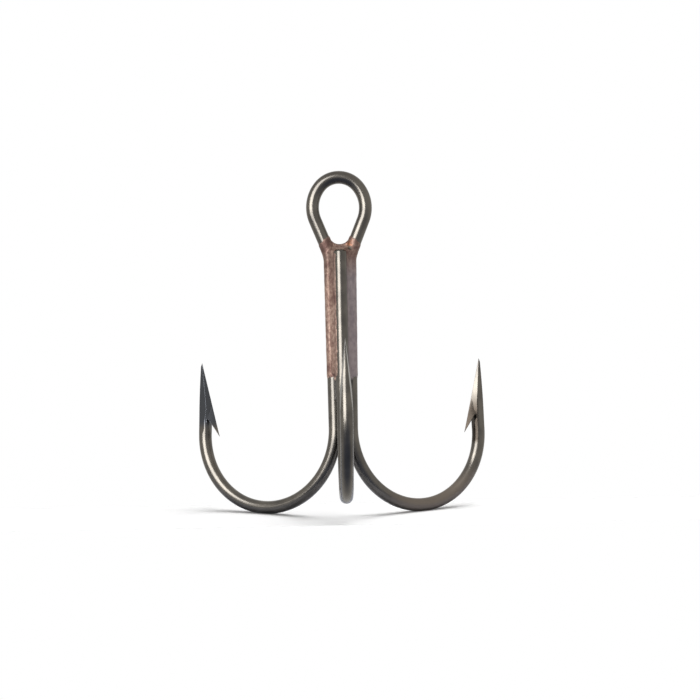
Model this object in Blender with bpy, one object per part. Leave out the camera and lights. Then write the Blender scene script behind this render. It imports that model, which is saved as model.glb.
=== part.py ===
"""Treble hook, 50 mm long, in three solids.

A double hook is bent from one wire, with the eye in the middle of its length. A single hook of the
same wire lies in the groove between the two legs. Brazing alloy fills the groove, bridges the legs
under the eye and joins the three hooks for good, so nothing on the part moves.

Frame: metres, +Z up. The origin is the middle of the eye, which lies in the XZ plane. The single
hook points along -Y, and the double hook's two points lie 120 degrees to either side of it.
"""

from math import acos, atan2, ceil, cos, pi, radians, sin, sqrt, tan

import bmesh
import bpy
import numpy as np
from mathutils import Matrix, Vector

mm = 0.001

# ---- driving dimensions ----

wire_diameter = 1.9 * mm

eye_crown_radius = 3.55 * mm  # radii of bends are to the middle of the wire
eye_crown_angle = radians(50)  # the crown's share of each half of the eye
eye_side_radius = 5.0 * mm
neck_angle = radians(22)  # how far the wire leans in, on each side, under the eye
neck_radius = 5.7 * mm

leg_gap = 0.5 * mm  # between the two legs, where their bends start
leg_lean = radians(0.45)  # the legs close up a little on the way down
hook_drop = 44.5 * mm  # from the middle of the eye to the underside of the bends

bend_radius = 11.0 * mm
point_lean = radians(2.2)  # the points stand a little towards the shank
point_height = 10.6 * mm  # straight wire from the end of the bend to the tip
hook_spread = radians(120)  # from one hook to the next, seen from above

taper_length = 8.3 * mm  # of the ground point
tip_inset = 0.2 * mm  # the tip stands this far in from the outer side of the wire
tip_width = 0.06 * mm
barb_length = 10.4 * mm  # from the tip of the point to the tip of the barb
barb_height = 1.35 * mm  # the barb's tip stands this far off the wire
barb_edge = 0.08 * mm  # width of the barb's inner edge, at its tip
slit_start = 8.5 * mm  # from the tip of the point to the root of the slit under the barb
slit_depth = 0.35 * mm  # from the wire's surface to the middle of the slit's root
slit_root_radius = 0.12 * mm
slit_length = 1.3 * mm  # along the wire, from the root to where the cut runs out

bridge_radius = 1.6 * mm  # of the hollow upper edge of the alloy, between the legs
bridge_height = 1.05 * mm  # from that edge down to the upper end of the single hook
rim_radius = 0.45 * mm  # the edge is rounded, front to back
bead_radius = 0.7 * mm  # of the swelling that covers the single hook's upper end
bead_setback = 0.3 * mm  # its front stands this far behind the single hook's front
bead_length = 1.1 * mm  # it thins out over this length, down the sides of the single hook
end_chamfer = 0.25 * mm  # on the upper end of the single hook

# The alloy sags below the straight line that would touch two neighbouring wires.
full_sag = 0.11 * mm  # on the side that drew the most alloy
full_length = 18.7 * mm  # of that side, down from the single hook's upper end
full_runout = 0.6 * mm  # it thins out over this length
lean_sag = 0.28 * mm  # the same three on the other side
lean_length = 22.0 * mm
lean_runout = 2.9 * mm
back_sag = 0.11 * mm  # at the back, where it is as long as on the lean side
bead_sag = 0.05 * mm  # on the bead, which has the most alloy of all
last_sag = 0.55 * mm  # what each side comes to where it ends

wire_gap = 0.15 * mm  # between the single hook and the legs, at their closest: the alloy's room
alloy_gap = 0.05 * mm  # between the alloy and the wire it wets
seam_cling = 0.85  # the seam's skin is drawn in to this share of a wire's radius, under its surface
rim_share = 0.97  # of the bridge's radius: the rim climbs no further up its round than this

# ---- how finely round forms are divided ----

wire_sides = 24
bend_step = radians(5)
slit_root_sides = 12
skin_points = 6
seam_steps = 10
end_shares = (0.25, 0.5, 0.75)  # where sections stand in the bead, and above it
bridge_sections = 18
leg_samples = 2000
weld_distance = 0.001 * mm
sharp_angle = radians(30)  # edges that turn more than this are shaded sharp

# ---- sizes that follow ----

wire_radius = wire_diameter / 2
DOWN = Vector((0, 0, -1))
eye_crown_height = eye_crown_radius * (1 - cos(eye_crown_angle)) + eye_side_radius * cos(eye_crown_angle)
bend_start_z = -hook_drop + wire_radius + bend_radius
leg_half_at_bend = wire_radius + leg_gap / 2
groove_depth = sqrt((wire_diameter + wire_gap) ** 2 - leg_half_at_bend**2)
barb_out = wire_radius + barb_height
tip_out = tip_inset - wire_radius
blade_heel = slit_start + 3 * slit_root_radius  # down to where the blade ends, inside the wire
roof_reach = 2 * wire_diameter  # the roof's sections go this far each way, past the whole seam

collection = bpy.data.collections.new("treble_hook")
tools = bpy.data.collections.new("cutters")


def clear_scene():
    for item in list(bpy.data.objects):
        bpy.data.objects.remove(item, do_unlink=True)
    for group in (collection, tools):
        bpy.context.scene.collection.children.link(group)


def finish_material(name, colour, metallic, roughness):
    material = bpy.data.materials.new(name)
    material.use_nodes = True
    shader = material.node_tree.nodes["Principled BSDF"]
    shader.inputs["Base Color"].default_value = (*colour, 1)
    shader.inputs["Metallic"].default_value = metallic
    shader.inputs["Roughness"].default_value = roughness
    return material


def add_tool(obj):
    """Keeps a cutter or a helper out of the part."""
    for group in obj.users_collection:
        group.objects.unlink(obj)
    tools.objects.link(obj)
    obj.hide_render = True
    obj.display_type = "WIRE"
    return obj


def add_boolean(obj, other, operation):
    modifier = obj.modifiers.new(f"{operation.lower()} {other.name}", "BOOLEAN")
    modifier.object = other
    modifier.operation = operation
    modifier.solver = "EXACT"


class FormedWire:
    """The middle line of a wire, formed run by run and bend by bend as on a bending machine."""

    def __init__(self, start, heading):
        self.points = [start]
        self.radii = [1.0]
        self.heading = heading

    def add(self, place, radius=1.0):
        self.points.append(place)
        self.radii.append(radius)

    def run(self, length):
        self.add(self.points[-1] + self.heading * length)

    def bend(self, axis, radius, angle, step):
        """Turns the heading by the angle about the axis, by the right-hand rule."""
        start = self.points[-1]
        centre = start + axis.cross(self.heading) * radius
        steps = ceil(angle / step)
        for i in range(1, steps + 1):
            turn = Matrix.Rotation(angle * i / steps, 3, axis)
            self.add(centre + turn @ (start - centre))
        self.heading = turn @ self.heading


def hook_axis(direction):
    """The axis that a bend turns about, for a hook that points in this direction, seen from above."""
    return Vector((sin(direction), -cos(direction), 0))


def form_hook(wire, direction):
    """Adds the bend and the tapered point, and returns the frame that the barb is cut in.

    The frame's axes are towards the shank, down the wire from the tip, and across the wire.
    """
    axis = hook_axis(direction)
    wire.heading = DOWN
    wire.bend(axis, bend_radius, pi + point_lean, bend_step)
    inward = axis.cross(wire.heading)
    wire.run(point_height - taper_length)
    middle = wire.points[-1] + wire.heading * taper_length
    wire.add(middle - inward * (wire_radius - tip_inset), tip_width / wire_diameter)
    frame = Matrix((inward, -wire.heading, inward.cross(-wire.heading))).transposed().to_4x4()
    return Matrix.Translation(middle) @ frame


def double_hook_wire():
    """The right half, from the crown of the eye to the tip, joined to its mirror image."""
    across = Vector((0, 1, 0))
    wire = FormedWire(Vector((0, 0, eye_crown_height)), Vector((1, 0, 0)))
    wire.bend(across, eye_crown_radius, eye_crown_angle, bend_step)
    wire.bend(across, eye_side_radius, pi / 2 - eye_crown_angle + neck_angle, bend_step)

    neck_turn = neck_angle - leg_lean
    arc_in = neck_radius * (cos(leg_lean) - cos(neck_angle))
    arc_down = neck_radius * (sin(neck_angle) - sin(leg_lean))
    # The straight run is as long as it takes for the leg to reach its place at the bend.
    far_x = wire.points[-1].x - arc_in - leg_half_at_bend
    far_z = wire.points[-1].z - arc_down - bend_start_z
    run_length = (far_x - far_z * tan(leg_lean)) / (sin(neck_angle) - cos(neck_angle) * tan(leg_lean))
    wire.run(run_length)
    wire.bend(-across, neck_radius, neck_turn, bend_step)
    wire.run((wire.points[-1].z - bend_start_z) / cos(leg_lean))

    right_barb = form_hook(wire, hook_spread - pi / 2)
    mirror = Matrix.Diagonal((-1, 1, 1, 1))
    left = [mirror @ point for point in wire.points]
    points = left[:0:-1] + wire.points
    radii = wire.radii[:0:-1] + wire.radii
    return points, radii, right_barb, mirror @ right_barb


def leg_offset(points, z):
    """How far the right leg's middle line stands from the YZ plane at this height."""
    leg = [p for p in points if p.x > 0 and p.y == 0 and p.z < 0]
    leg.sort(key=lambda p: p.z)
    return float(np.interp(z, [p.z for p in leg], [p.x for p in leg]))


def bridge_centre_z(points):
    """Height at which the bridge's hollow edge, a round, touches both legs."""
    heights = np.linspace(bend_start_z, 0, leg_samples)
    clear = [leg_offset(points, z) * cos(neck_angle) - wire_radius for z in heights]
    return float(np.interp(bridge_radius, clear, heights))


def swept_wire(name, points, radii, grow=0.0):
    """A closed round wire along the points, as a mesh. grow makes it thicker all round."""
    curve = bpy.data.curves.new(name, "CURVE")
    curve.dimensions = "3D"
    curve.bevel_depth = wire_radius + grow
    curve.bevel_resolution = wire_sides // 2 - 2
    curve.use_fill_caps = True
    spline = curve.splines.new("POLY")
    spline.points.add(len(points) - 1)
    for knot, place, radius in zip(spline.points, points, radii):
        knot.co = (*place, 1)
        knot.radius = radius
    guide = bpy.data.objects.new(name + "_guide", curve)
    bpy.context.scene.collection.objects.link(guide)
    evaluated = guide.evaluated_get(bpy.context.evaluated_depsgraph_get())
    mesh = bpy.data.meshes.new_from_object(evaluated)
    bpy.data.objects.remove(guide)
    bpy.data.curves.remove(curve)
    weld(mesh)
    mesh.name = name
    return bpy.data.objects.new(name, mesh)


def weld(mesh):
    shape = bmesh.new()
    shape.from_mesh(mesh)
    bmesh.ops.remove_doubles(shape, verts=shape.verts, dist=weld_distance)
    bmesh.ops.recalc_face_normals(shape, faces=shape.faces)
    shape.to_mesh(mesh)
    shape.free()


def stretched_over(name, corners):
    """The convex body with these corners."""
    shape = bmesh.new()
    for corner in corners:
        shape.verts.new(corner)
    found = bmesh.ops.convex_hull(shape, input=shape.verts)
    loose = [item for item in found["geom_interior"] if isinstance(item, bmesh.types.BMVert)]
    bmesh.ops.delete(shape, geom=loose, context="VERTS")
    bmesh.ops.recalc_face_normals(shape, faces=shape.faces)
    mesh = bpy.data.meshes.new(name)
    shape.to_mesh(mesh)
    shape.free()
    return add_tool(bpy.data.objects.new(name, mesh))


def lofted(name, rings):
    """A closed body through rings of as many points each."""
    shape = bmesh.new()
    rows = [[shape.verts.new(point) for point in ring] for ring in rings]
    count = len(rows[0])
    for lower, upper in zip(rows, rows[1:]):
        for i in range(count):
            after = (i + 1) % count
            shape.faces.new((lower[i], lower[after], upper[after], upper[i]))
    shape.faces.new(rows[0])
    shape.faces.new(rows[-1])
    bmesh.ops.recalc_face_normals(shape, faces=shape.faces)
    bmesh.ops.triangulate(shape, faces=shape.faces)
    mesh = bpy.data.meshes.new(name)
    shape.to_mesh(mesh)
    shape.free()
    return bpy.data.objects.new(name, mesh)


def barb_blade(name, frame):
    """The flat-sided wedge between the point's round back and its inner edge, out to the barb."""
    edge_slope = (barb_out - tip_out) / barb_length
    edge_at_base = tip_out + edge_slope * taper_length
    # The flats leave the round back where they are tangent to it.
    tangent = acos(wire_radius / edge_at_base)
    base = Vector((wire_radius * cos(tangent), taper_length, wire_radius * sin(tangent)))
    heel_share = blade_heel / taper_length
    corners = [Vector((tip_out, tip_width, 0))]
    for side in (-1, 1):
        corners.append(Vector((base.x, base.y, side * base.z)))
        corners.append(Vector((base.x * heel_share, blade_heel, side * base.z)))
        corners.append(Vector((barb_out, barb_length, side * barb_edge / 2)))
    return stretched_over(name, [frame @ corner for corner in corners])


def barb_slit(name, frame):
    """The chisel cut that raised the barb: a wedge with a round root, right across the wire."""
    root = Vector((wire_radius - slit_depth, slit_start, 0))
    barb_tip = Vector((barb_out, barb_length, 0))
    runs_out = Vector((wire_radius, slit_start + slit_length, 0))
    far = [root + (barb_tip - root) * 2, root + (runs_out - root) * 3]
    corners = []
    for side in (-1, 1):
        across = Vector((0, 0, side * wire_diameter))
        for i in range(slit_root_sides):
            turn = 2 * pi * i / slit_root_sides
            corners.append(root + across + Vector((cos(turn), sin(turn), 0)) * slit_root_radius)
        corners += [place + across for place in far]
    return stretched_over(name, [frame @ corner for corner in corners])


def cut_barb(hook, name, frame):
    add_boolean(hook, barb_blade(name + "_blade", frame), "UNION")
    add_boolean(hook, barb_slit(name + "_slit", frame), "DIFFERENCE")


def sagging_round(first, second, sag):
    """The round outside two others that the alloy's hollow face between them is part of.

    A round is a place and a radius. This one lies on the right of the way from first to second.
    """
    (start, start_radius), (end, end_radius) = first, second
    way = end - start
    line = sqrt(way.length**2 - (start_radius - end_radius) ** 2)
    radius = line**2 / (8 * sag) + sag / 2 - (start_radius + end_radius) / 2
    to_start = radius + start_radius
    to_end = radius + end_radius
    along = (way.length**2 + to_start**2 - to_end**2) / (2 * way.length)
    right = Vector((way.y, -way.x)).normalized()
    return start + way.normalized() * along + right * sqrt(to_start**2 - along**2), radius


def arc_points(middle, radius, first, last, turning, count):
    """From the side that faces the first place round to the side that faces the last one.

    turning is 1 for counter-clockwise and -1 for clockwise. The end of the arc is left out.
    """
    start = atan2(first.y - middle.y, first.x - middle.x)
    end = atan2(last.y - middle.y, last.x - middle.x)
    sweep = turning * (turning * (end - start) % (2 * pi))
    angles = [start + sweep * i / count for i in range(count)]
    return [middle + Vector((cos(angle), sin(angle))) * radius for angle in angles]


def skin_round(rounds, sags, cling=1.0):
    """The outline of a skin that clings to the outer side of each round and sags in between.

    The rounds come counter-clockwise, each with the sag between it and the next. Under 1, cling
    draws the skin in under the outer side, where the wire covers it.
    """
    after = [*rounds[1:], rounds[0]]
    hollows = [sagging_round(*pair, sag) for *pair, sag in zip(rounds, after, sags)]
    outline = []
    for i, (middle, radius) in enumerate(rounds):
        hollow, hollow_radius = hollows[i]
        outline += arc_points(middle, radius * cling, hollows[i - 1][0], hollow, 1, skin_points)
        outline += arc_points(hollow, hollow_radius, middle, after[i][0], -1, skin_points)
    return outline


def make_double_hook(steel):
    points, radii, right_barb, left_barb = double_hook_wire()
    hook = swept_wire("double_hook", points, radii)
    cut_barb(hook, "right_barb", right_barb)
    cut_barb(hook, "left_barb", left_barb)
    hook.data.materials.append(steel)
    collection.objects.link(hook)
    return points


def single_hook_wire(top_z):
    wire = FormedWire(Vector((0, -groove_depth, top_z)), DOWN)
    wire.radii[0] = 1 - end_chamfer / wire_radius
    wire.run(end_chamfer)
    wire.run(top_z - end_chamfer - bend_start_z)
    barb = form_hook(wire, -pi / 2)
    return wire, barb


def make_single_hook(steel, top_z):
    wire, barb = single_hook_wire(top_z)
    hook = swept_wire("single_hook", wire.points, wire.radii)
    cut_barb(hook, "front_barb", barb)
    hook.data.materials.append(steel)
    collection.objects.link(hook)
    return wire


def alloy_column(points, top_z, depth):
    """The outline of the alloy round the wires, this far under the single hook's upper end."""
    half = leg_offset(points, top_z - depth)
    bead = 1 - min(1, max(0, depth / bead_length))
    radius = wire_radius + (bead_radius - wire_radius) * bead
    front_y = bead_setback * bead - groove_depth - wire_radius
    left = (Vector((-half, 0)), wire_radius)
    front = (Vector((0, front_y + radius)), radius)
    right = (Vector((half, 0)), wire_radius)
    ends = ((full_sag, full_length, full_runout), (lean_sag, lean_length, lean_runout))
    sags = []
    for least, length, runout in (*ends, (back_sag, lean_length, lean_runout)):
        full = min(1, max(0, (length - depth) / runout))
        sag = last_sag + (least - last_sag) * full
        sags.append(sag + (bead_sag - sag) * bead)
    return skin_round([left, front, right], sags, seam_cling)


def make_column(points, top_z, hollow_z):
    """The alloy along the three wires and in the groove between them, and on up past the bridge."""
    run = full_length - full_runout - bead_length
    depths = [bead_length + run * i / seam_steps for i in range(seam_steps + 1)]
    depths += [bead_length * share for share in (0, *end_shares)]
    depths += [(top_z - hollow_z) * share for share in (*end_shares, 1)]
    depths += [full_length]
    depths += [lean_length - lean_runout * share for share in (1, 0.5, 0)]
    rings = []
    for depth in sorted(depths):
        outline = alloy_column(points, top_z, depth)
        rings.append([Vector((point.x, point.y, top_z - depth)) for point in outline])
    return lofted("brazing_alloy", rings)


def make_roof(points, top_z, hollow_z):
    """What shapes the alloy's upper end: the rim between the legs, and the slope from it down over
    the bead. Made of sections along X, each carried on far below so that it spares the seam."""
    front = [(point.x, point.y) for point in alloy_column(points, top_z, 0) if point.y < 0]
    front_x, front_y = zip(*sorted(front))
    far_z = top_z - 2 * lean_length
    rings = []
    for i in range(bridge_sections + 1):
        x = roof_reach * (2 * i / bridge_sections - 1)
        across = min(abs(x), rim_share * bridge_radius)
        rim_z = hollow_z - sqrt(bridge_radius**2 - across**2) - rim_radius
        bead_y = float(np.interp(x, front_x, front_y)) + bead_radius
        rim = (Vector((0, rim_z)), rim_radius)
        bead = (Vector((bead_y, top_z - bead_radius / 2)), bead_radius)
        toe = (Vector((-roof_reach, far_z)), bead_radius)
        foot = (Vector((roof_reach, far_z)), wire_radius)
        heel = (Vector((0, top_z - bead_length)), wire_radius)
        sags = [lean_sag, bead_sag, bead_sag, bead_sag, back_sag]
        outline = skin_round([rim, bead, toe, foot, heel], sags)
        rings.append([Vector((x, point.x, point.y)) for point in outline])
    return lofted("roof", rings)


def make_brazing_alloy(brass, leg_points, single_wire, hollow_z):
    top_z = single_wire.points[0].z
    alloy = make_column(leg_points, top_z, hollow_z)
    add_boolean(alloy, add_tool(make_roof(leg_points, top_z, hollow_z)), "INTERSECT")

    room = swept_wire("leg_room", leg_points, [1.0] * len(leg_points), alloy_gap)
    add_boolean(alloy, add_tool(room), "DIFFERENCE")
    shank = [single_wire.points[0] - DOWN * alloy_gap, *single_wire.points[1:]]
    room = swept_wire("shank_room", shank, [1.0] * len(shank), alloy_gap)
    add_boolean(alloy, add_tool(room), "DIFFERENCE")
    alloy.data.materials.append(brass)
    collection.objects.link(alloy)


def shade():
    for obj in collection.objects:
        obj.data.shade_smooth()
        obj.data.set_sharp_from_angle(angle=sharp_angle)


def main():
    clear_scene()
    steel = finish_material("black_nickel_steel", (0.075, 0.068, 0.062), 1.0, 0.25)
    brass = finish_material("brazing_alloy", (0.16, 0.085, 0.07), 0.6, 0.6)
    leg_points = make_double_hook(steel)
    hollow_z = bridge_centre_z(leg_points)
    single = make_single_hook(steel, hollow_z - bridge_radius - bridge_height)
    make_brazing_alloy(brass, leg_points, single, hollow_z)
    shade()


main()
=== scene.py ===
"""Treble hook: the wire, its plating and the brazed joint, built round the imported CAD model.

Metres, +Z up, in the CAD model's frame. The origin is the middle of the eye, the single hook points
along -Y, and the double hook's two points lie 120 degrees to either side of it.
"""

from math import acos, atan2, ceil, cos, pi, radians, sin, sqrt, tan

import bmesh
import bpy
import numpy as np
from mathutils import Matrix, Vector, noise


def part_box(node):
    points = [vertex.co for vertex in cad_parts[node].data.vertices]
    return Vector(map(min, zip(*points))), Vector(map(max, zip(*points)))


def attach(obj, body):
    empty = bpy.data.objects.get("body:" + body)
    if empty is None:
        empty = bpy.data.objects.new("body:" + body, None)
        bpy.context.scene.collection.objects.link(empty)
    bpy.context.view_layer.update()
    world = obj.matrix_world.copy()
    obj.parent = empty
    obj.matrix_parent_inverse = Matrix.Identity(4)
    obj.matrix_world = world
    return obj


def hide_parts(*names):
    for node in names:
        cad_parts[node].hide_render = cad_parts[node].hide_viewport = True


mm = 0.001

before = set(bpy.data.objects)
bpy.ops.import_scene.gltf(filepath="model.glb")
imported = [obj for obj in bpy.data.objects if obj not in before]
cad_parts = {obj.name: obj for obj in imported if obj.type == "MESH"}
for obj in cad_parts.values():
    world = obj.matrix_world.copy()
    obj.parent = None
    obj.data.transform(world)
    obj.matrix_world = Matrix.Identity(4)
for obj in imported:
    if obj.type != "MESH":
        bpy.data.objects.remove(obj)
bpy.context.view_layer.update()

# ---- Double hook ----
# One length of hard-drawn high-carbon steel wire. Its middle is bent round a pin into the eye, the two
# legs lie side by side, and each end is bent into a hook. The points are cut with flat sides and a
# chisel raises each barb before the bends are made.

wire_diameter = 1.9 * mm
wire_radius = wire_diameter / 2

eye_crown_radius = 3.55 * mm  # radii of bends are to the middle of the wire
eye_crown_angle = radians(50)  # the crown's share of each half of the eye
eye_side_radius = 5.0 * mm
neck_angle = radians(22)  # how far the wire leans in, on each side, under the eye
neck_radius = 5.7 * mm

leg_gap = 0.5 * mm  # between the two legs, where their bends start
leg_lean = radians(0.45)
hook_drop = 44.5 * mm  # from the middle of the eye to the underside of the bends

bend_radius = 11.0 * mm
point_lean = radians(2.2)  # the points stand a little towards the shank
point_height = 10.6 * mm  # straight wire from the end of the bend to the tip
hook_spread = radians(120)  # from one hook to the next, seen from above

wire_sides = 48
bend_step = radians(2)
weld_distance = 0.0005 * mm
sharp_angle = radians(24)  # edges that turn more than this stay crisp
DOWN = Vector((0, 0, -1))

eye_crown_height = eye_crown_radius * (1 - cos(eye_crown_angle)) + eye_side_radius * cos(eye_crown_angle)
bend_start_z = -hook_drop + wire_radius + bend_radius
leg_half_at_bend = wire_radius + leg_gap / 2


class FormedWire:
    """The middle line of a wire, formed run by run and bend by bend as on a bending machine."""

    def __init__(self, start, heading):
        self.points = [start]
        self.radii = [1.0]
        self.heading = heading

    def add(self, place, radius=1.0):
        self.points.append(place)
        self.radii.append(radius)

    def run(self, length):
        self.add(self.points[-1] + self.heading * length)

    def bend(self, axis, radius, angle):
        """Turns the heading by the angle about the axis, by the right-hand rule."""
        start = self.points[-1]
        centre = start + axis.cross(self.heading) * radius
        steps = ceil(angle / bend_step)
        for i in range(1, steps + 1):
            turn = Matrix.Rotation(angle * i / steps, 3, axis)
            self.add(centre + turn @ (start - centre))
        self.heading = turn @ self.heading


def form_hook(wire, direction):
    """Adds the bend and the straight end, and returns the frame that point and barb are cut in.

    The frame's axes are towards the shank, down the wire from the tip, and across the wire.
    """
    axis = Vector((sin(direction), -cos(direction), 0))
    wire.heading = DOWN
    wire.bend(axis, bend_radius, pi + point_lean)
    inward = axis.cross(wire.heading)
    wire.run(point_height)
    frame_axes = Matrix((inward, -wire.heading, inward.cross(-wire.heading))).transposed().to_4x4()
    return Matrix.Translation(wire.points[-1]) @ frame_axes


def double_hook_wire():
    """The right half, from the crown of the eye to the tip, joined to its mirror image."""
    across = Vector((0, 1, 0))
    wire = FormedWire(Vector((0, 0, eye_crown_height)), Vector((1, 0, 0)))
    wire.bend(across, eye_crown_radius, eye_crown_angle)
    wire.bend(across, eye_side_radius, pi / 2 - eye_crown_angle + neck_angle)

    # The straight run is as long as it takes for the leg to reach its place at the bend.
    arc_in = neck_radius * (cos(leg_lean) - cos(neck_angle))
    arc_down = neck_radius * (sin(neck_angle) - sin(leg_lean))
    far_x = wire.points[-1].x - arc_in - leg_half_at_bend
    far_z = wire.points[-1].z - arc_down - bend_start_z
    wire.run((far_x - far_z * tan(leg_lean)) / (sin(neck_angle) - cos(neck_angle) * tan(leg_lean)))
    wire.bend(-across, neck_radius, neck_angle - leg_lean)
    wire.run((wire.points[-1].z - bend_start_z) / cos(leg_lean))

    right_barb = form_hook(wire, hook_spread - pi / 2)
    mirror = Matrix.Diagonal((-1, 1, 1, 1))
    left = [mirror @ point for point in wire.points]
    points = left[:0:-1] + wire.points
    radii = wire.radii[:0:-1] + wire.radii
    return points, radii, right_barb, mirror @ right_barb


def swept_wire(name, points, radii):
    """A closed round wire along the points, as a mesh. The radii are shares of the full one."""
    curve = bpy.data.curves.new(name, "CURVE")
    curve.dimensions = "3D"
    curve.bevel_depth = wire_radius
    curve.bevel_resolution = wire_sides // 2 - 2
    curve.use_fill_caps = True
    spline = curve.splines.new("POLY")
    spline.points.add(len(points) - 1)
    for knot, place, radius in zip(spline.points, points, radii):
        knot.co = (*place, 1)
        knot.radius = radius
    return applied(bpy.data.objects.new(name, curve), name)


def applied(obj, name):
    """A plain mesh object with the curve or the modifiers of another one worked in."""
    bpy.context.scene.collection.objects.link(obj)
    evaluated = obj.evaluated_get(bpy.context.evaluated_depsgraph_get())
    mesh = bpy.data.meshes.new_from_object(evaluated)
    bpy.data.objects.remove(obj)
    shape = bmesh.new()
    shape.from_mesh(mesh)
    bmesh.ops.remove_doubles(shape, verts=shape.verts, dist=weld_distance)
    bmesh.ops.recalc_face_normals(shape, faces=shape.faces)
    shape.to_mesh(mesh)
    shape.free()
    mesh.name = name
    return bpy.data.objects.new(name, mesh)


def combined(first, second, operation, solver="EXACT"):
    """Both bodies worked into one by a Boolean, and the second one thrown away."""
    name = first.name
    bpy.context.scene.collection.objects.link(second)
    modifier = first.modifiers.new("combine", "BOOLEAN")
    modifier.object = second
    modifier.operation = operation
    modifier.solver = solver
    result = applied(first, name)
    bpy.data.objects.remove(second)
    return result


tip_inset = 0.2 * mm  # the tip stands this far in from the outer side of the wire
widest_at = 8.3 * mm  # from the tip: the barb's flats leave the full width of the wire here
barb_length = 11.2 * mm  # from the tip of the point to the tip of the barb
barb_height = 1.57 * mm  # the barb's tip stands this far off the wire
barb_edge = 0.08 * mm  # width of the barb's inner edge, at its tip
slit_start = 8.5 * mm  # from the tip of the point to the root of the slit under the barb
slit_depth = 0.22 * mm  # from the wire's surface to the middle of the slit's root
slit_root_radius = 0.12 * mm
slit_root_sides = 24
slit_length = 1.3 * mm  # along the wire, from the root to where the cut runs out
blade_heel = slit_start + 3 * slit_root_radius  # down to where the blade ends, inside the wire

ridge_in = 1.19 * mm  # each side ridge, inwards from the tip's line, where the cuts run out
ridge_across = 1.225 * mm  # and to the side
cut_clearance = 1.005  # of the wire's radius: the back cuts run out this far from its middle
cut_overrun = 1.05  # the kept point is carried on past the block by this much
edge_clearance = 0.01 * mm  # the cuts spare the barb's inner edge by this much

barb_out = wire_radius + barb_height
tip_out = tip_inset - wire_radius
edge_slope = (barb_out - tip_out) / barb_length


def stretched_over(name, corners):
    """The convex body with these corners."""
    shape = bmesh.new()
    for corner in corners:
        shape.verts.new(corner)
    found = bmesh.ops.convex_hull(shape, input=shape.verts)
    loose = [item for item in found["geom_interior"] if isinstance(item, bmesh.types.BMVert)]
    bmesh.ops.delete(shape, geom=loose, context="VERTS")
    bmesh.ops.recalc_face_normals(shape, faces=shape.faces)
    mesh = bpy.data.meshes.new(name)
    shape.to_mesh(mesh)
    shape.free()
    return bpy.data.objects.new(name, mesh)


def barb_blade(name, barb_frame):
    """The flat-sided wedge between the wire and the point's inner edge, out to the barb."""
    edge_at_base = tip_out + edge_slope * widest_at
    # The flats leave the round back where they are tangent to it.
    tangent = acos(wire_radius / edge_at_base)
    base = Vector((wire_radius * cos(tangent), widest_at, wire_radius * sin(tangent)))
    heel_share = blade_heel / widest_at
    corners = [Vector((tip_out, 0, 0))]
    for side in (-1, 1):
        corners.append(Vector((base.x, base.y, side * base.z)))
        corners.append(Vector((base.x * heel_share, blade_heel, side * base.z)))
        corners.append(Vector((barb_out, barb_length, side * barb_edge / 2)))
    return stretched_over(name, [barb_frame @ corner for corner in corners])


def barb_slit(name, barb_frame):
    """The chisel cut that raised the barb: a wedge with a round root, right across the wire."""
    root = Vector((wire_radius - slit_depth, slit_start, 0))
    barb_tip = Vector((barb_out, barb_length, 0))
    runs_out = Vector((wire_radius, slit_start + slit_length, 0))
    # Both sides of the wedge are carried on until they are well clear of the wire.
    far = [root + (barb_tip - root) * 2, root + (runs_out - root) * 3]
    corners = []
    for side in (-1, 1):
        across = Vector((0, 0, side * wire_diameter))
        for i in range(slit_root_sides):
            turn = 2 * pi * i / slit_root_sides
            corners.append(root + across + Vector((cos(turn), sin(turn), 0)) * slit_root_radius)
        corners += [place + across for place in far]
    return stretched_over(name, [barb_frame @ corner for corner in corners])


def point_cut(name, barb_frame):
    """All that the four flat cuts take off the wire to leave the point: a block with the four-sided
    point, carried on past where its outer cuts run out of the wire, hollowed out of it."""
    far_out = sqrt(ridge_in**2 + ridge_across**2)
    facing = atan2(ridge_across, ridge_in) + acos(cut_clearance * wire_radius / far_out)
    back_out = cut_clearance * wire_radius / cos(facing)
    inner_out = tip_out + edge_slope * point_height + edge_clearance
    tip = Vector((tip_out, 0, 0))
    corners = [tip]
    ridges = ((inner_out, 0), (ridge_in, ridge_across), (ridge_in, -ridge_across), (back_out, 0))
    for out, across in ridges:
        corners.append(tip + (Vector((out, point_height, across)) - tip) * cut_overrun)
    half = 4 * wire_diameter
    block = []
    for out in (-half, half):
        for down in (-half, point_height):
            block += [Vector((out, down, across)) for across in (-half, half)]
    block = stretched_over(name, [barb_frame @ corner for corner in block])
    point = stretched_over("point", [barb_frame @ corner for corner in corners])
    return combined(block, point, "DIFFERENCE")


def with_barb(hook, barb_frame):
    """The hook with the barb's blade laid on, and the point's flats and the slit cut."""
    hook = combined(hook, barb_blade("blade", barb_frame), "UNION")
    hook = combined(hook, point_cut("cut", barb_frame), "DIFFERENCE")
    return combined(hook, barb_slit("slit", barb_frame), "DIFFERENCE")


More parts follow.
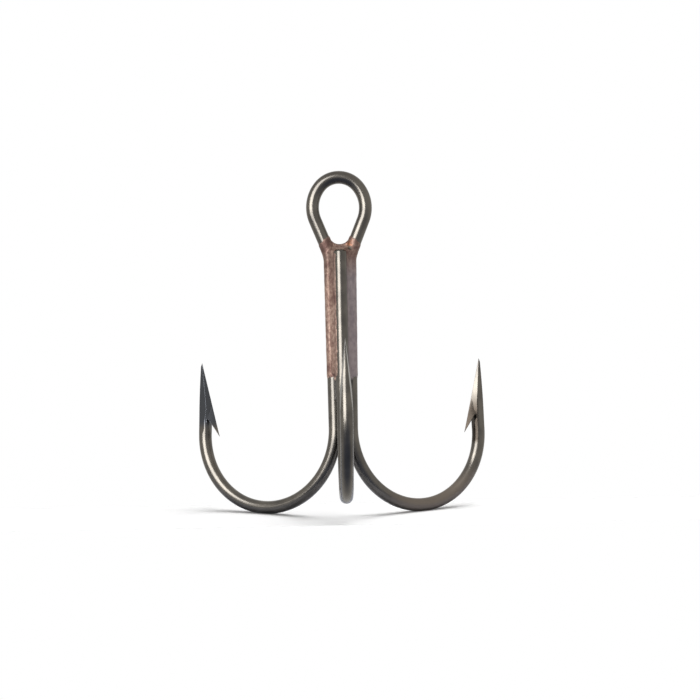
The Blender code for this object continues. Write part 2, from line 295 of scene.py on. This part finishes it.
def mark_wire_place(hook, points):
    """Stores where each vertex lies in the straight wire that was bent: across, across and along,
    in millimetres. The finish's marks follow the wire by it, round every bend."""
    line = np.array(points)
    ways = np.diff(line, axis=0)
    lengths = np.linalg.norm(ways, axis=1)
    ways /= lengths[:, None]
    sides = [Vector((0, 1, 0))]
    for before, after in zip(ways, ways[1:]):
        turn = Vector(before).rotation_difference(Vector(after))
        sides.append(turn @ sides[-1])
    sides = np.array(sides)
    thirds = np.cross(ways, sides)
    starts = np.concatenate(([0], np.cumsum(lengths)))[:-1]

    places = np.empty(len(hook.data.vertices) * 3)
    hook.data.vertices.foreach_get("co", places)
    places = places.reshape(-1, 3)
    off = places[:, None, :] - line[None, :-1, :]
    along = np.clip(np.einsum("vsk,sk->vs", off, ways), 0, lengths)
    away = np.linalg.norm(off - along[..., None] * ways, axis=2)
    nearest = away.argmin(axis=1)
    rows = np.arange(len(places))
    near_off = off[rows, nearest]
    stored = np.stack(
        [
            np.einsum("vk,vk->v", near_off, sides[nearest]),
            np.einsum("vk,vk->v", near_off, thirds[nearest]),
            starts[nearest] + along[rows, nearest],
        ],
        axis=1,
    )
    attribute = hook.data.attributes.new("wire_place", "FLOAT_VECTOR", "POINT")
    attribute.data.foreach_set("vector", (stored / mm).ravel())


def finished_wire(hook, points, material):
    """Smooth faces with flat flats, and the finish, on a hook that then joins the part."""
    mark_wire_place(hook, points)
    hook.data.shade_smooth()
    hook.data.set_sharp_from_angle(angle=sharp_angle)
    flats = hook.modifiers.new("flat flats", "WEIGHTED_NORMAL")
    flats.keep_sharp = True
    hook.data.materials.append(material)
    bpy.context.scene.collection.objects.link(hook)
    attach(hook, "root")


def linear(hex_colour):
    """The linear RGBA of an sRGB colour written as six hex digits."""
    parts = [int(hex_colour[i : i + 2], 16) / 255 for i in (1, 3, 5)]
    return (*[c / 12.92 if c <= 0.04045 else ((c + 0.055) / 1.055) ** 2.4 for c in parts], 1)


def add_node(tree, kind, inputs=None, **settings):
    """Adds a node, sets its properties and fills its inputs: a socket is linked, a value is set and
    a hex colour is turned to linear first."""
    made = tree.nodes.new("ShaderNode" + kind)
    for name, value in settings.items():
        setattr(made, name, value)
    for name, value in (inputs or {}).items():
        if isinstance(value, bpy.types.NodeSocket):
            tree.links.new(value, made.inputs[name])
        else:
            made.inputs[name].default_value = linear(value) if isinstance(value, str) else value
    return made


def share_inside(tree, axes, *bounds, fade="SMOOTHSTEP"):
    """How much of a finish a place has, from 0 to 1: all of it inside every bound.

    A bound is an axis, where the finish starts along it and where it is full, in millimetres.
    """
    share = 1.0
    for axis, start, full in bounds:
        ends = {"Value": axes.outputs[axis], "From Min": start * mm, "From Max": full * mm}
        along = add_node(tree, "MapRange", ends, interpolation_type=fade).outputs["Result"]
        share = add_node(tree, "Math", {0: share, 1: along}, operation="MULTIPLY").outputs["Value"]
    return share


def layered(tree, colour, *layers):
    """The colour with each layer laid over it in turn. A layer is its share and its colour."""
    for share, over in layers:
        mixed = {"Factor": share, 6: colour, 7: over}
        colour = add_node(tree, "Mix", mixed, data_type="RGBA").outputs[2]
    return colour


def black_nickel_plate():
    """Black nickel, plated bright on drawn steel wire: a dark grey metal with a soft mirror gloss.

    It copies the wire's drawing lines. It is dull and brownish where it is thinnest. The left-hand
    point is painted darker and bluer, as a painted dark reflection.
    """
    material = bpy.data.materials.new("black_nickel_plate_on_drawn_steel")
    material.use_nodes = True
    tree = material.node_tree
    shader = tree.nodes["Principled BSDF"]
    shader.inputs["Metallic"].default_value = 1

    place = add_node(tree, "Attribute", attribute_name="wire_place").outputs["Vector"]
    # Drawing lines are about 0.02 mm apart and too fine to show, so they are drawn 0.12 mm apart.
    line_spacing = 0.12  # in millimetres, as wire_place is
    line_length = 4.0
    stretch = (1 / line_spacing, 1 / line_spacing, 1 / line_length)
    stretched = add_node(tree, "Mapping", {"Vector": place, "Scale": stretch}).outputs["Vector"]
    lines = add_node(tree, "TexNoise", {"Vector": stretched, "Scale": 1.0, "Detail": 3.0}).outputs["Fac"]

    # The plating's tone changes along the wire in clouds.
    cloud_size = 2.5
    clouds = add_node(tree, "TexNoise", {"Vector": place, "Scale": 1 / cloud_size, "Detail": 4.0})
    tone = add_node(tree, "ValToRGB", {"Fac": clouds.outputs["Fac"]})
    stops = ((0.35, "#55524e"), (0.65, "#66625c"))
    for element, (position, colour) in zip(tone.color_ramp.elements, stops):
        element.position = position
        element.color = linear(colour)

    axes = add_node(tree, "SeparateXYZ", {"Vector": add_node(tree, "TexCoord").outputs["Object"]})
    # It is thin, dull and brownish round the bottom of the right-hand bend.
    dull = share_inside(tree, axes, ("X", 5.0, 10.0), ("Z", -37.0, -41.0))
    # The left-hand point is painted blue-black: a painted dark reflection.
    left_point_dark_reflection = share_inside(tree, axes, ("X", -18.2, -18.8), ("Z", -31.8, -30.2))
    # It is stained brown on the inner side of the right-hand point, down to the barb's tip.
    inner_side = (("X", 16.5, 17.5), ("X", 20.5, 20.0))
    stained = share_inside(tree, axes, *inner_side, ("Z", -25.5, -29.5), ("Z", -34.6, -33.6))
    layers = ((dull, "#6f675f"), (left_point_dark_reflection, "#47494d"), (stained, "#342f2a"))
    tree.links.new(layered(tree, tone.outputs["Color"], *layers), shader.inputs["Base Color"])

    # The drawing lines streak the gloss, and the dull part is rougher.
    streaks = {"Value": lines, "From Min": 0.3, "From Max": 0.7, "To Min": 0.2, "To Max": 0.3}
    gloss = add_node(tree, "MapRange", streaks).outputs["Result"]
    dull_roughness = 0.22
    rough = add_node(tree, "Math", {0: dull, 1: dull_roughness, 2: gloss}, operation="MULTIPLY_ADD")
    tree.links.new(rough.outputs["Value"], shader.inputs["Roughness"])

    # Plating builds up on sharp edges and rounds them.
    edge_round = add_node(tree, "Bevel", {"Radius": 0.08 * mm}).outputs["Normal"]
    line_height = 0.0015 * mm
    relief = {"Height": lines, "Strength": 1.0, "Distance": line_height, "Normal": edge_round}
    bump = add_node(tree, "Bump", relief)
    tree.links.new(bump.outputs["Normal"], shader.inputs["Normal"])
    return material


plate = black_nickel_plate()
leg_points, leg_radii, right_barb, left_barb = double_hook_wire()
double_hook = swept_wire("double_hook_wire", leg_points, leg_radii)
double_hook = with_barb(double_hook, right_barb)
double_hook = with_barb(double_hook, left_barb)
finished_wire(double_hook, leg_points, plate)
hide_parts("double_hook")

# ---- Single hook ----
# The same wire, cut straight and chamfered at its upper end, and bent into one hook. Its shank is laid
# in the groove in front of the two legs and held there while it is brazed.

end_chamfer = 0.25 * mm
shank_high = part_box("single_hook")[1]
shank_top_z = shank_high.z
shank_y = shank_high.y - wire_radius


def single_hook_wire():
    """From the chamfered upper end down to the tip of the point."""
    wire = FormedWire(Vector((0, shank_y, shank_top_z)), DOWN)
    wire.radii[0] = 1 - end_chamfer / wire_radius
    wire.run(end_chamfer)
    wire.run(shank_top_z - end_chamfer - bend_start_z)
    barb = form_hook(wire, -pi / 2)
    return wire, barb


shank_wire, front_barb = single_hook_wire()
single_hook = swept_wire("single_hook_wire", shank_wire.points, shank_wire.radii)
single_hook = with_barb(single_hook, front_barb)
finished_wire(single_hook, shank_wire.points, plate)
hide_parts("single_hook")

# ---- Brazing alloy ----
# A copper and zinc alloy, run in with flux while the three wires are held together. It fills the
# groove, wets both legs all round, bridges them under the eye and covers the single hook's end.

bridge_radius = 1.6 * mm  # of the hollow upper edge of the alloy, between the legs
bridge_height = 1.05 * mm  # from that edge down to the upper end of the single hook
rim_radius = 0.45 * mm  # the edge is rounded, front to back
bead_radius = 0.7 * mm  # of the swelling that covers the single hook's upper end
bead_setback = 0.3 * mm  # its front stands this far behind the single hook's front
bead_length = 1.1 * mm  # it thins out over this length, down the sides of the single hook

# The alloy sags below the straight line that would touch two neighbouring wires.
full_sag = 0.11 * mm  # on the side that drew the most alloy
full_length = 18.7 * mm  # of that side, down from the single hook's upper end
full_runout = 0.6 * mm  # it thins out over this length
lean_sag = 0.28 * mm  # the same three on the other side
lean_length = 22.0 * mm
lean_runout = 2.9 * mm
back_sag = 0.11 * mm  # at the back, where it is as long as on the lean side
bead_sag = 0.05 * mm  # on the bead, which has the most alloy of all
last_sag = 0.55 * mm  # what each side comes to where it ends
seam_unevenness = 0.4  # of the sag
seam_swell = 2.5 * mm
seam_cling = 0.85  # the seam's skin is drawn in to this share of a wire's radius, under its surface
rim_share = 0.97  # of the bridge's radius: the rim climbs no further up its round than this
roof_reach = 2 * wire_diameter  # the roof's sections go this far each way, past the whole seam

skin_points = 10
section_height = 0.3 * mm
bridge_sections = 48
hollow_z = shank_top_z + bridge_height + bridge_radius


def leg_offset(z):
    """How far the right leg's middle line stands from the YZ plane at this height."""
    leg = [p for p in leg_points if p.x > 0 and p.y == 0 and p.z < 0]
    leg.sort(key=lambda p: p.z)
    return float(np.interp(z, [p.z for p in leg], [p.x for p in leg]))


def sagging_round(first, second, sag):
    """The round outside two others that the alloy's hollow face between them is part of.

    A round is a place and a radius. This one lies on the right of the way from first to second.
    """
    (start, start_radius), (end, end_radius) = first, second
    way = end - start
    line = sqrt(way.length**2 - (start_radius - end_radius) ** 2)
    radius = line**2 / (8 * sag) + sag / 2 - (start_radius + end_radius) / 2
    to_start = radius + start_radius
    to_end = radius + end_radius
    along = (way.length**2 + to_start**2 - to_end**2) / (2 * way.length)
    rightward = Vector((way.y, -way.x)).normalized()
    return start + way.normalized() * along + rightward * sqrt(to_start**2 - along**2), radius


def arc_points(middle, radius, first, last, turning, count):
    """From the side that faces the first place round to the side that faces the last one.

    turning is 1 for counter-clockwise and -1 for clockwise. The end of the arc is left out.
    """
    start = atan2(first.y - middle.y, first.x - middle.x)
    end = atan2(last.y - middle.y, last.x - middle.x)
    sweep = turning * (turning * (end - start) % (2 * pi))
    angles = [start + sweep * i / count for i in range(count)]
    return [middle + Vector((cos(angle), sin(angle))) * radius for angle in angles]


def skin_round(rounds, sags, cling=1.0):
    """The outline of a skin that clings to the outer side of each round and sags in between.

    The rounds come counter-clockwise, each with the sag between it and the next. Under 1, cling
    draws the skin in under the outer side, where the wire covers it.
    """
    after = [*rounds[1:], rounds[0]]
    hollows = [sagging_round(*pair, sag) for *pair, sag in zip(rounds, after, sags)]
    outline = []
    for i, (middle, radius) in enumerate(rounds):
        hollow, hollow_radius = hollows[i]
        outline += arc_points(middle, radius * cling, hollows[i - 1][0], hollow, 1, skin_points)
        outline += arc_points(hollow, hollow_radius, middle, after[i][0], -1, skin_points)
    return outline


def lofted(name, rings):
    """A closed body through rings of as many points each."""
    shape = bmesh.new()
    rows = [[shape.verts.new(point) for point in ring] for ring in rings]
    count = len(rows[0])
    for lower, upper in zip(rows, rows[1:]):
        for i in range(count):
            after = (i + 1) % count
            shape.faces.new((lower[i], lower[after], upper[after], upper[i]))
    shape.faces.new(rows[0])
    shape.faces.new(rows[-1])
    bmesh.ops.recalc_face_normals(shape, faces=shape.faces)
    bmesh.ops.triangulate(shape, faces=shape.faces)
    mesh = bpy.data.meshes.new(name)
    shape.to_mesh(mesh)
    shape.free()
    return bpy.data.objects.new(name, mesh)


def wander(place, size, seed=0.0):
    """Smooth unevenness, about -1 to 1, whose swells are this far apart. Each seed gives another."""
    return noise.noise(Vector(place) / size + Vector((seed, seed, seed)))


def alloy_outline(depth):
    """The outline of the alloy round the wires, this far under the single hook's upper end."""
    half = leg_offset(shank_top_z - depth)
    bead = 1 - min(1, max(0, depth / bead_length))
    radius = wire_radius + (bead_radius - wire_radius) * bead
    front_y = bead_setback * bead + shank_y - wire_radius
    left = (Vector((-half, 0)), wire_radius)
    front = (Vector((0, front_y + radius)), radius)
    right = (Vector((half, 0)), wire_radius)
    ends = ((full_sag, full_length, full_runout), (lean_sag, lean_length, lean_runout))
    sags = []
    for side, (least, length, runout) in enumerate((*ends, (back_sag, lean_length, lean_runout))):
        full = min(1, max(0, (length - depth) / runout))
        uneven = 1 + seam_unevenness * wander((0, 0, depth), seam_swell, side * 7.3)
        sag = last_sag + (least * uneven - last_sag) * full
        sags.append(sag + (bead_sag - sag) * bead)
    return skin_round([left, front, right], sags, seam_cling)


def alloy_column():
    """The alloy along the three wires and in the groove between them, and on up past the bridge."""
    lowest = lean_length
    highest = shank_top_z - hollow_z
    count = ceil((lowest - highest) / section_height)
    rings = []
    for i in range(count + 1):
        depth = lowest + (highest - lowest) * i / count
        rings.append([Vector((p.x, p.y, shank_top_z - depth)) for p in alloy_outline(depth)])
    return lofted("column", rings)


def alloy_roof():
    """What shapes the alloy's upper end: the rim between the legs, and the slope from it down over
    the bead. Made of sections along X, each carried on far below so that it spares the seam."""
    front = [(point.x, point.y) for point in alloy_outline(0) if point.y < 0]
    front_x, front_y = zip(*sorted(front))
    far_z = shank_top_z - 2 * lean_length
    sags = [lean_sag, bead_sag, bead_sag, bead_sag, back_sag]
    rings = []
    for i in range(bridge_sections + 1):
        x = roof_reach * (2 * i / bridge_sections - 1)
        across = min(abs(x), rim_share * bridge_radius)
        rim_z = hollow_z - sqrt(bridge_radius**2 - across**2) - rim_radius
        bead_y = float(np.interp(x, front_x, front_y)) + bead_radius
        rim = (Vector((0, rim_z)), rim_radius)
        bead = (Vector((bead_y, shank_top_z - bead_radius / 2)), bead_radius)
        toe = (Vector((-roof_reach, far_z)), bead_radius)
        foot = (Vector((roof_reach, far_z)), wire_radius)
        heel = (Vector((0, shank_top_z - bead_length)), wire_radius)
        outline = skin_round([rim, bead, toe, foot, heel], sags)
        rings.append([Vector((x, point.x, point.y)) for point in outline])
    return lofted("roof", rings)


film_thickness = 0.06 * mm
film_unevenness = 0.35  # of the thickness
film_swell = 0.9 * mm
film_edge = 0.15 * mm  # the film thins out over this length
film_end_z = shank_top_z - full_length
film_end_wander = 0.3 * mm  # how far its lower edge wanders up and down
film_edge_swell = 0.5 * mm  # the edge's swells are this far apart
film_slant = 0.85  # its upper edge on the legs falls this much for each step outwards
film_level_x = 0.7 * bridge_radius  # where that edge is level with the middle of the hollow
film_slant_wander = 0.25 * mm
film_slant_swell = 0.6 * mm
film_headroom = 1.5 * mm  # its mesh starts this far above the hollow's middle, inside the leg
film_overrun = 0.6 * mm  # and goes on this far past the lower edge
film_from_front = radians(52)  # on the single hook, it starts this far round from the front
film_side_wander = 0.12 * mm
film_setback = 0.5 * mm  # and this far under the upper end
film_setback_wander = 0.2 * mm
film_shank_room = 0.2 * mm  # its mesh there starts this far under the upper end
film_step = 0.15 * mm
film_sides = 48


def alloy_film(side):
    """The thin coat that the alloy leaves round a leg: it dives into the wire where it ends."""
    top_z = hollow_z + film_headroom
    bottom_z = film_end_z - film_overrun
    count = ceil((top_z - bottom_z) / film_step)
    rings = []
    for i in range(count + 1):
        z = bottom_z + (top_z - bottom_z) * i / count
        half = leg_offset(z)
        lean = atan2(leg_offset(z + film_step) - half, film_step)
        ring = []
        for k in range(film_sides):
            angle = 2 * pi * k / film_sides
            out = Vector((cos(angle) * cos(lean), sin(angle), -cos(angle) * sin(lean)))
            place = Vector((half, 0, z)) + out * wire_radius
            upper = hollow_z - film_slant * (place.x - film_level_x)
            upper += film_slant_wander * wander(place, film_slant_swell)
            lower = film_end_z + film_end_wander * wander(place, film_edge_swell, 3.1)
            inside = min(upper - place.z, place.z - lower) / film_edge
            share = min(1, max(-1, inside))
            uneven = film_unevenness * wander(place, film_swell, 5.7)
            place += out * (film_thickness * (share + uneven))
            place.x *= side
            ring.append(place)
        rings.append(ring)
    return lofted("film", rings)


def shank_film():
    """The same coat on the side of the single hook that faces the full seam, up to its front."""
    top_z = shank_top_z - film_shank_room
    bottom_z = film_end_z - film_overrun
    count = ceil((top_z - bottom_z) / film_step)
    rings = []
    for i in range(count + 1):
        z = bottom_z + (top_z - bottom_z) * i / count
        ring = []
        for k in range(2 * film_sides):
            angle = pi * k / film_sides
            out = Vector((-sin(angle), -cos(angle), 0))
            place = Vector((0, shank_y, z)) + out * wire_radius
            from_front = wire_radius * (angle - film_from_front)
            from_front += film_side_wander * wander(place, film_edge_swell, 9.1)
            to_back = wire_radius * (pi - angle)
            upper = shank_top_z - film_setback - z
            upper += film_setback_wander * wander(place, film_edge_swell, 2.2)
            lower = z - film_end_z - film_end_wander * wander(place, film_edge_swell, 3.1)
            inside = min(from_front, to_back, upper, lower) / film_edge
            share = min(1, max(-1, inside))
            uneven = film_unevenness * wander(place, film_swell, 5.7)
            ring.append(place + out * film_thickness * (share + uneven))
        rings.append(ring)
    return lofted("shank_film", rings)


def dulled_brazing_alloy():
    """Brazing alloy, flowed on and cooled in air under its flux: a brown, satin metal skin.

    Where it scorched it is mottled darker and redder, and the side that stayed hottest is greyer.
    A little rust has started at the rim on that side. Close under the eye, in the groove below its
    coat on the wires and in the corner beside the single hook's upper end it is painted darker, as
    painted shade.
    """
    material = bpy.data.materials.new("dulled_brazing_alloy")
    material.use_nodes = True
    tree = material.node_tree
    shader = tree.nodes["Principled BSDF"]
    # Burnt flux and oxide lie on the metal and take part of its gloss.
    shader.inputs["Metallic"].default_value = 0.6
    place = add_node(tree, "TexCoord").outputs["Object"]

    def stain(size, detail, roughness, low, high):
        """Clouds this many millimetres wide: a share that is 0 below low and 1 above high."""
        scale = 1 / (size * mm)
        clouds = {"Vector": place, "Scale": scale, "Detail": detail, "Roughness": roughness}
        cloud = add_node(tree, "TexNoise", clouds).outputs["Fac"]
        ends = {"Value": cloud, "From Min": low, "From Max": high}
        return add_node(tree, "MapRange", ends).outputs["Result"]

    def close_to(middle, start, full):
        """A share that is 0 beyond start from the middle, and 1 nearer to it than full."""
        away = add_node(tree, "VectorMath", {0: place, 1: middle}, operation="DISTANCE")
        ends = {"Value": away.outputs["Value"], "From Min": start, "From Max": full}
        return add_node(tree, "MapRange", ends).outputs["Result"]

    axes = add_node(tree, "SeparateXYZ", {"Vector": place})
    # Close under the eye the skin is painted darker: painted shade under the eye.
    near_eye = share_inside(tree, axes, ("Z", -12.0, -8.0), fade="LINEAR")
    deepest_eye_shade = 0.55
    painted_eye_shade = add_node(tree, "Math", {0: near_eye, 1: deepest_eye_shade}, operation="MULTIPLY").outputs["Value"]
    light = stain(0.45, 4.0, 0.7, 0.4, 0.6)
    red = stain(1.6, 3.0, 0.5, 0.5, 0.68)
    brown = layered(tree, "#87695f", (light, "#b79c8c"), (red, "#6f4f47"), (painted_eye_shade, "#5c4740"))
    grey = layered(tree, "#84797c", (stain(0.7, 3.0, 0.5, 0.35, 0.65), "#998d8c"))
    grey_side = share_inside(tree, axes, ("X", -0.9, 1.1), ("Z", -7.0, -10.5), fade="LINEAR")

    # A little rust has started at the rim on the grey side.
    rust_radius = 0.75 * mm
    near_rust = close_to((1.45 * mm, -0.7 * mm, -5.4 * mm), rust_radius, 0.3 * rust_radius)
    specks = stain(0.4, 3.0, 0.6, 0.35, 0.55)
    rust = add_node(tree, "Math", {0: near_rust, 1: specks}, operation="MULTIPLY").outputs["Value"]
    # Below the alloy's coat on the wires, the alloy deep in the groove is painted dark: painted shade
    # between the wires.
    film_end = film_end_z / mm
    below = share_inside(tree, axes, ("Z", film_end, film_end - 0.5), fade="LINEAR")
    # The corner beside the rust, by the single hook's upper end under the alloy's lip, is painted dark:
    # painted shadow.
    lip_shadow = close_to((1.4 * mm, -1.0 * mm, -6.1 * mm), 0.5 * mm, 0.25 * mm)
    layers = ((grey_side, grey), (rust, "#8f5a3c"), (below, "#3f3c39"), (lip_shadow, "#4a4139"))
    tree.links.new(layered(tree, brown, *layers), shader.inputs["Base Color"])

    gloss = {"Value": stain(0.5, 3.0, 0.5, 0.3, 0.7), "To Min": 0.42, "To Max": 0.65}
    rough = add_node(tree, "MapRange", gloss)
    tree.links.new(rough.outputs["Result"], shader.inputs["Roughness"])
    grain_size = 0.25 * mm
    grain_height = 0.02 * mm
    grain = add_node(tree, "TexNoise", {"Vector": place, "Scale": 1 / grain_size, "Detail": 4.0})
    relief = {"Height": grain.outputs["Fac"], "Strength": 1.0, "Distance": grain_height}
    bump = add_node(tree, "Bump", relief)
    tree.links.new(bump.outputs["Normal"], shader.inputs["Normal"])
    return material


alloy = combined(alloy_column(), alloy_roof(), "INTERSECT", "MANIFOLD")
for side in (-1, 1):
    alloy = combined(alloy, alloy_film(side), "UNION", "MANIFOLD")
alloy = combined(alloy, shank_film(), "UNION", "MANIFOLD")
skin = alloy.modifiers.new("melt together", "REMESH")
skin.mode = "VOXEL"
skin.voxel_size = 0.07 * mm
even = alloy.modifiers.new("flow out", "SMOOTH")
even.factor = 0.5
even.iterations = 4
alloy = applied(alloy, "brazing_alloy_skin")

# The skin set uneven, in swells of two sizes. Each has its height, its length and a seed.
skin_swells = ((0.02 * mm, 0.8 * mm, 11.0), (0.008 * mm, 0.3 * mm, 17.0))
rests = [(vertex.co.copy(), vertex.normal.copy()) for vertex in alloy.data.vertices]
for vertex, (place, outward) in zip(alloy.data.vertices, rests):
    swell = sum(height * wander(place, length, seed) for height, length, seed in skin_swells)
    vertex.co = place + outward * swell
alloy.data.shade_smooth()
# The Booleans leave the mesh an empty material slot.
alloy.data.materials.clear()
alloy.data.materials.append(dulled_brazing_alloy())
bpy.context.scene.collection.objects.link(alloy)
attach(alloy, "root")
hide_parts("brazing_alloy")

# ---- Camera ----
# A long lens, a little below the level of the bends and almost square to the eye.

camera_data = bpy.data.cameras.new("camera")
camera = bpy.data.objects.new("camera", camera_data)
bpy.context.scene.collection.objects.link(camera)
bpy.context.scene.camera = camera
camera_distance = 0.8
camera_turn = radians(1.19)  # it stands this far round to the left
camera_rise = radians(-4.02)  # and, being negative, this far below the level of the bends
camera_roll = radians(1.15)
aim_to_right = 0.0009  # past the middle of the bends, for each unit of distance
aim_upwards = 0.02914
bends_middle = Vector((0, -0.48 * mm, -hook_drop))
level = cos(camera_rise)
sight = Vector((sin(camera_turn) * level, cos(camera_turn) * level, -sin(camera_rise)))
right = Vector((cos(camera_turn), -sin(camera_turn), 0))
up = right.cross(sight)
rolled_right = right * cos(camera_roll) - up * sin(camera_roll)
rolled_up = right * sin(camera_roll) + up * cos(camera_roll)
aim = (sight + rolled_right * aim_to_right + rolled_up * aim_upwards).normalized()
aim_right = aim.cross(rolled_up).normalized()
aim_up = aim_right.cross(aim)
camera_axes = Matrix((aim_right, aim_up, -aim)).transposed().to_4x4()
camera.matrix_world = Matrix.Translation(bends_middle - sight * camera_distance) @ camera_axes
camera_data.lens = 281.6
camera_data.sensor_width = 36
camera_data.clip_start = 0.01
camera_data.clip_end = 10

# ---- Floor ----
# A plain white sheet. The hook leans back on its two rear bends, so the sheet slopes under them and
# ends before it comes to the single hook, which hangs clear of it.

floor_slope = radians(13)
contact_y = 5.5 * mm  # the two rear bends touch the sheet here
contact_room = 0.02 * mm
floor_half_width = 0.08
floor_front = 0.006
floor_back = 0.014
shape = bmesh.new()
corners = []
for x, y in (
    (-floor_half_width, -floor_front),
    (floor_half_width, -floor_front),
    (floor_half_width, floor_back),
    (-floor_half_width, floor_back),
):
    z = -hook_drop + (y - contact_y) * tan(floor_slope) - contact_room
    corners.append(shape.verts.new((x, y, z)))
shape.faces.new(corners)
floor_mesh = bpy.data.meshes.new("floor")
shape.to_mesh(floor_mesh)
shape.free()
floor = bpy.data.objects.new("floor", floor_mesh)
bpy.context.scene.collection.objects.link(floor)
paper = bpy.data.materials.new("white_paper")
paper.use_nodes = True
tree = paper.node_tree
shader = tree.nodes["Principled BSDF"]
shader.inputs["Roughness"].default_value = 1
shader.inputs["Specular IOR Level"].default_value = 0
# It is plain white to the lens, with a slight lift, and a cooler white where the metal mirrors it.
to_lens = add_node(tree, "LightPath").outputs["Is Camera Ray"]
tree.links.new(layered(tree, "#e4e8f4", (to_lens, "#ffffff")), shader.inputs["Base Color"])
lift_strength = 0.05
lift = add_node(tree, "Math", {0: to_lens, 1: lift_strength}, operation="MULTIPLY")
shader.inputs["Emission Color"].default_value = linear("#ffffff")
tree.links.new(lift.outputs["Value"], shader.inputs["Emission Strength"])
floor.data.materials.append(paper)

# ---- Lamps and world ----
# The softbox in front on the left is what the wires mirror as their long streaks. The one high up on
# the right lights the sheet and the alloy and casts the shadows. The room is white, darker low down.

softbox_distance = 0.6
lit_middle = Vector((0, 0, -20 * mm))  # both face the middle of the hook


def add_softbox(name, azimuth, elevation, width, height, power):
    """A softbox that faces the hook. Its azimuth is counted from the front to the right."""
    data = bpy.data.lights.new(name, "AREA")
    data.shape = "RECTANGLE"
    data.size = width
    data.size_y = height
    data.energy = power
    lamp = bpy.data.objects.new(name, data)
    bpy.context.scene.collection.objects.link(lamp)
    way = Vector((sin(azimuth) * cos(elevation), -cos(azimuth) * cos(elevation), sin(elevation)))
    lamp.location = lit_middle + way * softbox_distance
    lamp.rotation_euler = (-way).to_track_quat("-Z", "Y").to_euler()
    lamp.visible_camera = False
    return lamp


key = add_softbox("key", radians(-31), radians(18), 0.48, 0.5, 6.2)
key.visible_diffuse = False  # it is only mirrored, so it doesn't fill the shadows
high = add_softbox("high", radians(110), radians(74), 0.5, 0.5, 3.3)
high.visible_glossy = False  # it isn't mirrored, so it adds no streak of its own

world = bpy.data.worlds.new("studio")
bpy.context.scene.world = world
world.use_nodes = True
tree = world.node_tree
way = add_node(tree, "TexCoord").outputs["Generated"]
low_front = (0.0, -0.5, -0.866)
towards = add_node(tree, "VectorMath", {0: way, 1: low_front}, operation="DOT_PRODUCT")
dark = add_node(
    tree,
    "MapRange",
    {"Value": towards.outputs["Value"], "From Min": 0.1, "From Max": 0.95},
    interpolation_type="SMOOTHSTEP",
)
room = layered(tree, "#f4f2ee", (dark.outputs["Result"], "#838ba0"))
# Metal mirrors the room, the lens sees plain white, and dull surfaces are lit by a plain grey.
ray = add_node(tree, "LightPath")
layers = ((ray.outputs["Is Glossy Ray"], room), (ray.outputs["Is Camera Ray"], "#ffffff"))
background = tree.nodes["Background"]
tree.links.new(layered(tree, "#aaaaaa", *layers), background.inputs["Color"])
background.inputs["Strength"].default_value = 1

bpy.context.scene.view_settings.view_transform = "Standard"
